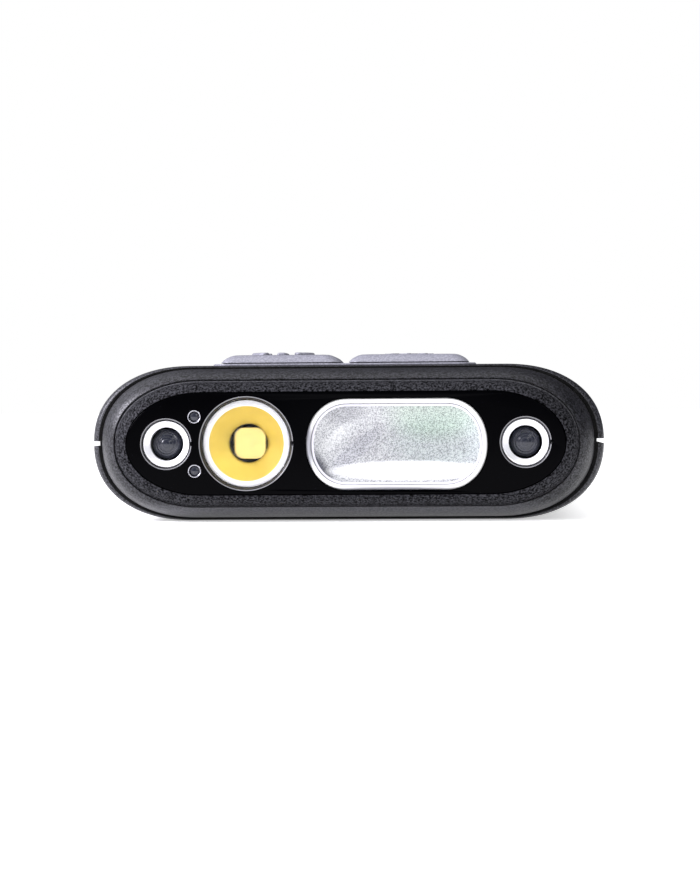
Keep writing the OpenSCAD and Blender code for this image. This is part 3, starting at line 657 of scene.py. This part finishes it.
upper = housing_skin("upper_shell_skin", shell_profile, MATS["shell"], half="upper")
pocket = pad("pocket", [(z, FRAME_W + 0.2, FRAME_D + 0.2, FRAME_R + 0.1)
                        for z in (BODY_H - 1, BODY_H + 4)], (BUTTON_MID, BUTTON_Y))
cut(upper, [pocket, *stem_holes(BODY_H - 10)])
finish_shell(upper, "upper_shell")

lower = housing_skin("lower_shell_skin", shell_profile, MATS["shell"], half="lower")
screw_places = [(sx * SHELL_SCREW_X, y, 0) for sx in (-1, 1) for y in SHELL_SCREW_Y]
boss = [(3.6, 4), (3.6, MID)]
screw_bore = [(2.2, -2), (2.2, 4.5), (SCREW_HOLE_R, 4.5), (SCREW_HOLE_R, 14)]
cut(lower, [lathe("boss", boss, place, "z", 64) for place in screw_places], "UNION")
cut(lower, [lathe("bore", screw_bore, place, "z", 64) for place in screw_places])
finish_shell(lower, "lower_shell")

# ----------------------------------------------------------- front bezel

bezel_back = [(BEZEL_BACK, 5.2, 4.8), (BEZEL_END, 5.2, 4.8), (BEZEL_END, 7.2, 6.8),
              (FRONT + 4.6, 7.2, 6.8), (FRONT + 4.6, 14, 9.6), (LENS_FRAME_BACK, 14, 9.6),
              (LENS_FRAME_BACK, 8.4, 4.7)]
bezel_profile = (
    [(BEZEL_FRONT, 8.4, 4.7)]
    + curve((BEZEL_FRONT, 8.2, 4.5), (BEZEL_BACK, 3.4, 1.1), 14, 20, 78)
    + bezel_back
)
bezel_radii = [0.02, 0.12] + [0] * 13 + [0.3] + [0.15] * len(bezel_back)
bezel = housing_skin("front_bezel_skin", soften(bezel_profile, bezel_radii), MATS["bezel"])
smooth(bezel)
stands_for(bezel, "front_bezel")

lens_frame_shoulder = [(FRONT + 2.32, 8.96, 5.26), (FRONT + 2.52, 8.84, 5.14),
                       (FRONT + 2.75, 8.8, 5.1)]
lens_frame_back = [(LENS_FRAME_BACK, 8.8, 5.1), (LENS_FRAME_BACK, 15, 9.8),
                   (PLATE_BACK, 15, 9.8), (PLATE_BACK, 12.8, 8.6), (FRONT + 0.05, 12.8, 8.6)]
lens_frame_slope = curve((FRONT + 0.05, 12.6, 8.45), (FRONT + 2.2, 9.14, 5.44), 12, 18, 70)
lens_frame_profile = lens_frame_slope + lens_frame_shoulder + lens_frame_back
lens_frame_radii = [0.06] + [0] * 14 + [0.06] * 5 + [0.03]
lens_frame = housing_skin("lens_frame_skin", soften(lens_frame_profile, lens_frame_radii),
                          MATS["frame"])
# Painted highlight: faces of the shoulder that look upwards get the paler material
paint(lens_frame, [MATS["frame_painted_highlight"]], lambda middle, normal: (
    FRONT + 2.16 < middle.y < FRONT + 2.8 and normal.z > 0.1))
smooth(lens_frame)
stands_for(lens_frame, "lens_frame")


def seal_ring(name, node_name, y0, y1, outer, inner, radius):
    """A flat rubber ring between two (iw, ih) outlines."""
    section = [(y0, *outer), (y1, *outer), (y1, *inner), (y0, *inner)]
    ring = housing_skin(name, soften(section, [radius] * 4), MATS["seal"])
    smooth(ring)
    stands_for(ring, node_name)


seal_ring("bezel_seal_skin", "bezel_seal", BEZEL_BACK, SHELL_FRONT, (4.4, 2.4), (5.1, 4.7), 0.1)
seal_ring("rear_seal_skin", "rear_seal", SHELL_REAR, CAP_END, (1.6, 1.6), (4.9, 4.5), 0.08)

# ------------------------------------------------------------ face plate

EDGE_W = 0.15
# The round openings of the face plate: middle in X, radius and width of the bevel
OPENINGS = ((-LAMP_X, LAMP_HOLE_R, 0.32), (LAMP_X, LAMP_HOLE_R, 0.32),
            (SPOT_X, SPOT_R + 1.03, 0.48))


def flood_outline(grow):
    """The outline of the flood panel, made larger or smaller."""
    w, h = FLOOD_W + grow, FLOOD_H + grow
    return [(FLOOD_X + x, FLOOD_Z + z) for x, z in capsule(w, h, h / 2 - 0.65, 2.1, 40)]


def opening_tools(x, r, bevel):
    """Cutters for a round opening with a bevelled front and a locating notch."""
    outer = r + bevel
    hole = lathe("hole", [(outer + 0.06, -0.06), (outer, 0), (outer - EDGE_W, 0.1), (r, 0.55),
                          (r, 3)], (x, FRONT, MID))
    notch = box_mesh("notch", (x + r - 0.3, FRONT - 1, MID - 0.35),
                     (x + outer + 0.3, FRONT + 0.35, MID + 0.35))
    return [hole, notch]


def opening_zone(middle, normal):
    """1 on the thin edge of an opening, which carries a painted highlight, 2 on its bevel and 0
    elsewhere.
    """
    for x, r, bevel in OPENINGS:
        out = math.hypot(middle.x - x, middle.z - MID) - r - bevel
        if -EDGE_W - 0.02 < out < 0.01 and FRONT + 0.02 < middle.y < FRONT + 0.3:
            return 1
        if -bevel < out < -EDGE_W and middle.y < FRONT + 0.54:
            return 2
    return 0


face_profile = soften([(FRONT, 13.3, 9.1), (FRONT + 0.15, 13, 8.8), (PLATE_BACK, 13, 8.8)],
                      [0, 0.12, 0], closed=False)
face = housing_skin("face_plate_skin", face_profile, MATS["face"], closed=False)
tools = [tool for opening in OPENINGS for tool in opening_tools(*opening)]
tools.append(prism_y("slot", flood_outline(0.2), FRONT - 1, FRONT + 3))
for sz in (-1, 1):
    tools.append(lathe("eye", [(1.24, -0.05), (1.16, 0.05), (1.16, 3)],
                       (SENSOR_X, FRONT, MID + sz * SENSOR_Z), segments=64))
cut(face, tools)
# Painted highlight on the thin edge of each opening
paint(face, [MATS["face_painted_highlight"], MATS["face_bevel"]], opening_zone)
smooth(face)
stands_for(face, "face_plate")

# ---------------------------------------------------------- spot emitter

BOWL_STEPS = 40
bowl = []
for i in range(BOWL_STEPS + 1):
    r = HOLE_R + (SPOT_R - HOLE_R) * i / BOWL_STEPS
    bowl.append((r, BOWL_DEPTH - (r * r - HOLE_R ** 2) / (4 * BOWL_FOCUS)))  # a parabola
rim = bowl[-1][1]
reflector_rim = [
    (SPOT_R + 0.08, rim - 0.03), (SPOT_R + 0.2, rim), (SPOT_R + 0.82, rim),
    (SPOT_R + 0.88, rim + 0.04), (SPOT_R + 0.88, rim + 0.09), (SPOT_R + 0.69, rim + 0.12),
    (SPOT_R + 0.69, rim + 0.75), (SPOT_R + 0.3, rim + 0.85)]
reflector_foot = [(5.6, 4.6), (4.9, 4.6), (4.9, BOWL_DEPTH)]
reflector = lathe("spot_reflector_bowl", bowl + reflector_rim + reflector_foot,
                  (SPOT_X, FRONT, MID), segments=192, material=MATS["reflector"], closed=True)
paint(reflector, [MATS["reflector_rim"]], lambda middle, normal: (
    math.hypot(middle.x - SPOT_X, middle.z - MID) > SPOT_R + 0.02))
smooth(reflector)
stands_for(reflector, "spot_reflector")

flat_r, edge_r = SPOT_R + 0.8, SPOT_R + 0.93
window = lathe("spot_window_disc", [
    (0.001, 0.4), (flat_r, 0.4), (edge_r, 0.52), (edge_r, 1.08), (flat_r, 1.2), (0.001, 1.2)],
    (SPOT_X, FRONT, MID), material=MATS["window"])
smooth(window)
stands_for(window, "spot_window")

# In the photograph the bright square stands a touch to the right of the LED's middle
phosphor_x = LED_X + 0.1
phosphor_rings = [[(phosphor_x + x, LED_Y + y, MID + z) for x, z in round_rect(w, w, r)]
                  for y, w, r in ((-0.3, 4.3, 1.3), (-0.35, 4.7, 1.45), (-0.3, 4.88, 1.56),
                                  (-0.18, 4.95, 1.6), (0.44, 4.95, 1.6))]
phosphor = new_object("spot_phosphor_dome", *loop_skin(phosphor_rings), MATS["phosphor"])
smooth(phosphor)
stands_for(phosphor, "spot_phosphor")

# ----------------------------------------------------------- flood panel


def flood_rings(levels):
    """Rings from (distance behind the front, growth of the outline)."""
    return [[(x, FRONT + y, z) for x, z in flood_outline(grow)] for y, grow in levels]


lens_dish = [(1.12, -9), (1.1, -7.6), (1.04, -6.4), (0.92, -5.2), (0.76, -4.2), (0.6, -3.2),
             (0.48, -2.5)]
lens_border = [(0.42, -2.1), (0.42, -1.86), (0.48, -1.74), (0.6, -1.7), (1.6, -1.7)]
flood_lens = new_object("flood_lens_panel", *loop_skin(flood_rings(lens_dish + lens_border)),
                        MATS["frosted"])
paint(flood_lens, [MATS["lens_border"]], lambda middle, normal: middle.y < FRONT + 0.485)
smooth(flood_lens)
stands_for(flood_lens, "flood_lens")

tray_outside = [(7.8, 0), (0.62, 0), (0.42, -0.08), (0.26, -0.3), (0.16, -0.66), (0.12, -1.1)]
tray_inside = [(0.14, -1.36), (0.22, -1.54), (0.36, -1.6), (1.6, -1.6), (1.6, -2.8),
               (6.6, -2.8)]
tray = new_object("flood_tray_rim", *loop_skin(flood_rings(tray_outside + tray_inside)),
                  MATS["tray"])
smooth(tray)
stands_for(tray, "flood_tray")

# --------------------------------------------- signal lamps and sensors

RIPPLE, RIPPLE_PITCH = 0.045, 0.42
LEG_PITCH = 2.54

# A dome with faint moulded rings, then the body and flange of the LED behind it
lamp_profile = []
for k in range(61):
    a = math.radians(1.5 * k)
    wave = math.cos(2 * math.pi * LAMP_R * math.sin(a) / RIPPLE_PITCH)
    lamp_profile.append((LAMP_R * math.sin(a),
                         LAMP_R - LAMP_R * math.cos(a) + RIPPLE * wave * math.sin(2 * a)))
lamp_profile += [(LAMP_R, 5.5), (LAMP_R + 0.4, 5.6), (LAMP_R + 0.4, 6.6), (0.001, 6.6)]
cup_profile = [(2.72, 0.56), (3.1, 0.34), (3.44, 0.06), (3.52, 0.0), (3.64, 0.0), (3.7, 0.06),
               (3.7, 3), (2.65, 3), (2.65, 0.62)]

for side, sx in (("left", -1), ("right", 1)):
    lamp = lathe("lamp_body_" + side, lamp_profile, (sx * LAMP_X, FRONT + 0.8, MID),
                 segments=96, material=MATS["dark_lens"])
    legs = [lathe("leg", [(0.25, 6.5), (0.25, 9)],
                  (sx * LAMP_X + s * LEG_PITCH / 2, FRONT + 0.8, MID), segments=16)
            for s in (-1, 1)]
    lamp = join("lamp_dome_" + side, [lamp, *legs], MATS["dark_lens"])
    smooth(lamp)
    stands_for(lamp, "lamp_" + side)
    cup = lathe("lamp_cup_ring_" + side, cup_profile, (sx * LAMP_X, FRONT + 0.6, MID),
                material=MATS["mirror_cup"], closed=True)
    smooth(cup)
    stands_for(cup, "lamp_cup_" + side)

bead_profile = []
for k in range(16):
    a = math.radians(6 * k)
    bead_profile.append((SENSOR_R * math.sin(a), 0.5 - 0.4 * math.cos(a)))
bead_profile += [(0.81, 1.5), (1.5, 1.5), (1.5, 6.2), (0.001, 6.2)]
ring_profile = [(0.82, 0.3), (0.86, 0.06), (0.94, 0.0), (1.02, 0.0), (1.08, 0.06),
                (1.08, 1.4), (0.82, 1.4)]

for node_name, sz in (("sensor_emitter", 1), ("sensor_receiver", -1)):
    place = (SENSOR_X, FRONT + 0.1, MID + sz * SENSOR_Z)
    lens = lathe(node_name + "_bead", bead_profile, place, segments=64,
                 material=MATS["dark_lens"])
    smooth(lens)
    stands_for(lens, node_name)
    ring = lathe(node_name + "_ring", ring_profile, place, segments=64,
                 material=MATS["sensor_ring"], closed=True)
    smooth(ring)
    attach(ring, "housing")

# ---------------------------------------------------------------- buttons

plate = pad("button_frame_plate", [
    (BODY_H - 1, FRAME_W, FRAME_D, FRAME_R), (FRAME_TOP - 0.2, FRAME_W, FRAME_D, FRAME_R),
    (FRAME_TOP - 0.06, FRAME_W - 0.14, FRAME_D - 0.14, FRAME_R - 0.07),
    (FRAME_TOP, FRAME_W - 0.5, FRAME_D - 0.5, FRAME_R - 0.25)],
    (BUTTON_MID, BUTTON_Y), MATS["button"])
wells = [pad("well", [(z, BUTTON_W + 0.6, BUTTON_D + 0.6, 2.3)
                      for z in (BODY_H - 0.5, BODY_H + 3)], (x, BUTTON_Y))
         for x in (POWER_X, MODE_X)]
cut(plate, wells + stem_holes(BODY_H - 5))
smooth(plate, 0.06, 2)
stands_for(plate, "button_frame")


def button_cap(name, x, marks):
    """A cap with round shoulders, its stem with the groove for the clip, and its marks.

    The foot of the cap is cut in and dull black, a painted shadow line round it.
    """
    levels = [(KEY_BASE + z, BUTTON_W - cut_in, BUTTON_D - cut_in, r) for z, cut_in, r in (
        (0, 0.9, 1.6), (0.44, 0.9, 1.6), (0.46, 0.2, 1.9), (0.5, 0.08, 2), (0.6, 0.24, 2),
        (0.86, 0.7, 2), (1.1, 1.2, 2), (1.3, 1.82, 1.95), (1.5, 2.6, 1.9), (1.63, 3.16, 1.85),
        (1.72, 3.8, 1.8), (1.78, 4.4, 1.7), (1.8, 5, 1.6))]
    body = pad(name + "_body", levels, (x, BUTTON_Y), steps=14)
    groove_r, groove_low, groove_high = 1.2, BODY_H - 2.67, BODY_H - 2.23
    stem = lathe(name + "_stem", [
        (STEM_R, BODY_H - 4.7), (STEM_R, groove_low), (groove_r, groove_low),
        (groove_r, groove_high), (STEM_R, groove_high), (STEM_R, BODY_H + 0.3)],
        (x, BUTTON_Y, 0), "z", 48)
    cap = join(name, [body, stem, *marks], MATS["button"])
    # Painted shadow line: the cut-in foot of the cap is dull black
    paint(cap, [MATS["gasket"]], lambda middle, normal: middle.z < KEY_BASE + 0.47)
    smooth(cap)
    return cap


ARC_IN, ARC_OUT, ARC_HALF, ARC_STEPS = 4.0, 5.3, 58, 24


def arc_mark(facing):
    """A bracket-shaped raised mark on the power button, part of a ring."""
    outline = []
    for r, order in ((ARC_OUT, 1), (ARC_IN, -1)):
        for i in range(ARC_STEPS + 1):
            a = math.radians(facing + order * (-ARC_HALF + 2 * ARC_HALF * i / ARC_STEPS))
            outline.append((r, math.cos(a), math.sin(a)))
    rings = []
    for z, shrink in ((0, 0), (0.2, 0), (0.34, 0.06), (0.45, 0.18), (0.5, 0.36)):
        rings.append([])
        for r, c, s in outline:
            r += shrink if r == ARC_IN else -shrink
            rings[-1].append((POWER_X + r * c, BUTTON_Y + r * s, MARK_Z + z))
    return new_object("arc", *loop_skin(rings))


def ray_mark(turn):
    """A raised ray of the sun on the mode button."""
    c, s = math.cos(turn), math.sin(turn)
    rings = []
    for z, grow in ((0, 0), (0.2, 0), (0.25, -0.08)):
        near, far, side = 2.6 - grow, 4.1 + grow, 0.35 + grow
        rings.append([(MODE_X + u * c - v * s, BUTTON_Y + u * s + v * c, MARK_Z + z)
                      for u, v in ((near, -side), (far, -side), (far, side), (near, side))])
    return new_object("ray", *loop_skin(rings))


bar = pad("bar", [(MARK_Z + z, 1.6 - s, 8 - s, r) for z, s, r in (
    (0, 0, 0.5), (0.2, 0, 0.5), (0.34, 0.12, 0.45), (0.45, 0.4, 0.4), (0.5, 0.8, 0.25))],
    (POWER_X, BUTTON_Y), steps=5)
power_marks = [arc_mark(0), arc_mark(180), bar]
stands_for(button_cap("power_button_cap", POWER_X, power_marks),
           "power_button", "power_key")

disc = pad("disc", [(MARK_Z + z, w, w, w / 2 - 0.01) for z, w in (
    (0, 3.8), (0.2, 3.8), (0.25, 3.6))], (MODE_X, BUTTON_Y))
mode_marks = [disc] + [ray_mark(math.radians(45 * k)) for k in range(8)]
stands_for(button_cap("mode_button_cap", MODE_X, mode_marks),
           "mode_button", "mode_key")

# --------------------------------------------------------------- rear end

round_start = REAR - CAP_ROUND
cap_profile = soften([
    (REAR - 4, 7.6, 7.2), (CAP_FRONT, 7.6, 7.2), (CAP_FRONT, 5.2, 4.8), (CAP_END, 5.2, 4.8),
    (CAP_END, 0, 0), (round_start, 0, 0)], [0, 0.15, 0.15, 0.15, 0.25, 0.6], closed=False)[:-1]
for k in range(19):
    t = math.radians(5 * k)
    fall = 1 - math.cos(t)
    cap_profile.append((round_start + CAP_ROUND * math.sin(t), 5.4 * fall, 4 * fall))
rear = housing_skin("rear_cap_skin", cap_profile, MATS["shell"], closed=False)
cut(rear, [lathe("pillar", [(2.6, -10), (2.6, -3.5)], (sx * REAR_SCREW_X, REAR, REAR_SCREW_Z),
                 segments=64) for sx in (-1, 1)], "UNION")

recess_half, recess_h = COVER_W / 2 + COVER_GAP, PIN_Z - RECESS_LOW
recess_mid = (RECESS_LOW + PIN_Z) / 2
hinge = (0, PIN_Y, PIN_Z)
tools = [
    prism_y("recess", [(x, recess_mid + z) for x, z in round_rect(2 * recess_half, recess_h, 1)],
            REAR - 1.7, REAR + 1),
    box_mesh("hinge_way", (-recess_half, PIN_Y, PIN_Z - 2), (recess_half, REAR + 1, PIN_Z + 1.4)),
    lathe("hinge_cut", [(1.4, -recess_half), (1.4, recess_half)], hinge, "x", 64),
    lathe("finger", [(2.6, -3.5), (2.6, 3.5)], (0, REAR + 1.2, PORT_Z - 4.4), "x", 64),
    prism_y("mouth", [(x, PORT_Z + z) for x, z in round_rect(9.3, 3.6, 1.7)], REAR - 6, REAR),
    lathe("pin_way", [(0.61, -recess_half - 1.5), (0.61, recess_half + 1.5)], hinge, "x", 32),
]
for sx in (-1, 1):
    tools.append(lathe("screw_way", [(SCREW_HOLE_R, -12), (SCREW_HOLE_R, -4.5), (2.1, -4.5),
                                     (2.1, 1)], (sx * REAR_SCREW_X, REAR, REAR_SCREW_Z)))
    x = sx * (BODY_W / 2 - GROOVE_D + 5)
    tools.append(box_mesh("groove", (x - 5, CAP_FRONT, MID - GROOVE_H / 2),
                          (x + 5, REAR + 10, MID + GROOVE_H / 2)))
cut(rear, tools)
smooth(rear, 0.08)
stands_for(rear, "rear_cap")

# ------------------------------------------------------------- port cover

flap_h, flap_mid = PIN_Z - FLAP_LOW, (FLAP_LOW + PIN_Z) / 2
flap = new_object("flap", *loop_skin([
    [(x, REAR + y, flap_mid + z) for x, z in round_rect(COVER_W - s, flap_h - s, 0.8)]
    for y, s in ((-1.5, 0.1), (-1.45, 0), (-0.3, 0), (-0.2, 0.08), (-0.15, 0.3))]))
cut(flap, [lathe("bore", [(1.0, -COVER_W), (1.0, COVER_W)], hinge, "x", 64)])
half = COVER_W / 2
barrel = lathe("barrel", [(0.64, -half), (1.02, -half), (1.1, -half + 0.08), (1.1, half - 0.08),
                          (1.02, half), (0.64, half)], hinge, "x", 64, closed=True)
plug = new_object("plug", *loop_skin([
    [(x, REAR + y, PORT_Z + z) for x, z in round_rect(7.4 - s, 1.8 - s, 0.85 - s / 2)]
    for y, s in ((-2.7, 0.3), (-2.6, 0.08), (-2.5, 0), (-1.4, 0))]))
ribs = []
for k in range(3):
    z = PORT_Z - 1.35 + 1.3 * k
    ribs.append(new_object("rib", *loop_skin([
        [(x, REAR + y, z + dz) for x, dz in round_rect(10 - s, 0.5 - s, 0.18, 4)]
        for y, s in ((-0.5, 0), (-0.08, 0), (0, 0.12))])))
cover = join("port_cover_flap", [flap, barrel, plug, *ribs], MATS["cover"])
smooth(cover)
stands_for(cover, "port_cover", "port_flap")

# ------------------------------------------------ floor, light and camera

FLOOR_HALF = 6000
floor_mat, tn, links, shader = blank("floor_paper")
paper = tint(tn, links, noise(tn, links, 40, 3), (0.9, 0.9, 0.9), (0.93, 0.93, 0.93))
links.new(paper, shader.inputs["Base Color"])
shader.inputs["Roughness"].default_value = 0.9
shader.inputs["Specular IOR Level"].default_value = 0
shader.inputs["Emission Color"].default_value = (1, 1, 1, 1)
shader.inputs["Emission Strength"].default_value = 0.5
floor = new_object("floor", [(sx * FLOOR_HALF, sy * FLOOR_HALF, 0) for sx, sy in (
    (-1, -1), (1, -1), (1, 1), (-1, 1))], [(0, 1, 2, 3)], floor_mat)
floor.location.z = -0.05 * MM

# The world is white to the camera and pale to the surfaces. What they mirror is dark, and gets
# bright towards the upper left, as under a large soft lamp.
SEEN, DIFFUSE = (1, 1, 1, 1), (0.8, 0.8, 0.82, 1)
MIRRORED_DARK, MIRRORED_BRIGHT = (0.05, 0.05, 0.053), (1.5, 1.5, 1.6)
BRIGHT_WAY = (-0.8, 0, 0.6)
world = bpy.data.worlds.new("studio")
bpy.context.scene.world = world
world.use_nodes = True
tn, links = world.node_tree.nodes, world.node_tree.links
ray = tn.new("ShaderNodeLightPath").outputs
toward = tn.new("ShaderNodeVectorMath")
toward.operation = "DOT_PRODUCT"
toward.inputs[1].default_value = BRIGHT_WAY
links.new(tn.new("ShaderNodeTexCoord").outputs["Generated"], toward.inputs[0])
mirrored = tint(tn, links, toward.outputs["Value"], MIRRORED_DARK, MIRRORED_BRIGHT, 0.35, 0.98)
sky = mixed(tn, links, "MIX", ray["Is Glossy Ray"], DIFFUSE, mirrored)
sky = mixed(tn, links, "MIX", ray["Is Camera Ray"], sky, SEEN)
links.new(sky, tn["Background"].inputs["Color"])
tn["Background"].inputs["Strength"].default_value = 1.0


def area_light(name, place, target, size, power, colour=(1, 1, 1)):
    """A square soft lamp at place, turned to target, in metres and watts."""
    data = bpy.data.lights.new(name, "AREA")
    data.shape = "SQUARE"
    data.size = size
    data.energy = power
    data.color = colour
    obj = bpy.data.objects.new(name, data)
    obj.location = place
    obj.rotation_euler = (Vector(target) - Vector(place)).to_track_quat("-Z", "Y").to_euler()
    bpy.context.scene.collection.objects.link(obj)


area_light("top_box", (0, -0.1, 0.5), (0, -0.03, 0.012), 0.6, 1.1)
area_light("left_box", (-0.44, -0.2, 0.28), (0, -0.04, 0.012), 0.2, 5.0, (0.92, 0.9, 1.0))
area_light("right_spark", (0.26, -0.5, 0.3), (0, -0.05, 0.012), 0.14, 0.7)

# The photograph looks at the lamp end, almost level and a little from the right
camera_data = bpy.data.cameras.new("camera")
camera_data.sensor_width = 36
camera_data.lens = 100
camera_data.clip_start = 0.01
camera = bpy.data.objects.new("camera", camera_data)
camera.location = (0.018, -0.436, 0.0185)
camera.rotation_euler = [math.radians(degrees) for degrees in (89.3, 0.38, 2.59)]
bpy.context.scene.collection.objects.link(camera)
bpy.context.scene.camera = camera
bpy.context.scene.view_settings.view_transform = "Standard"
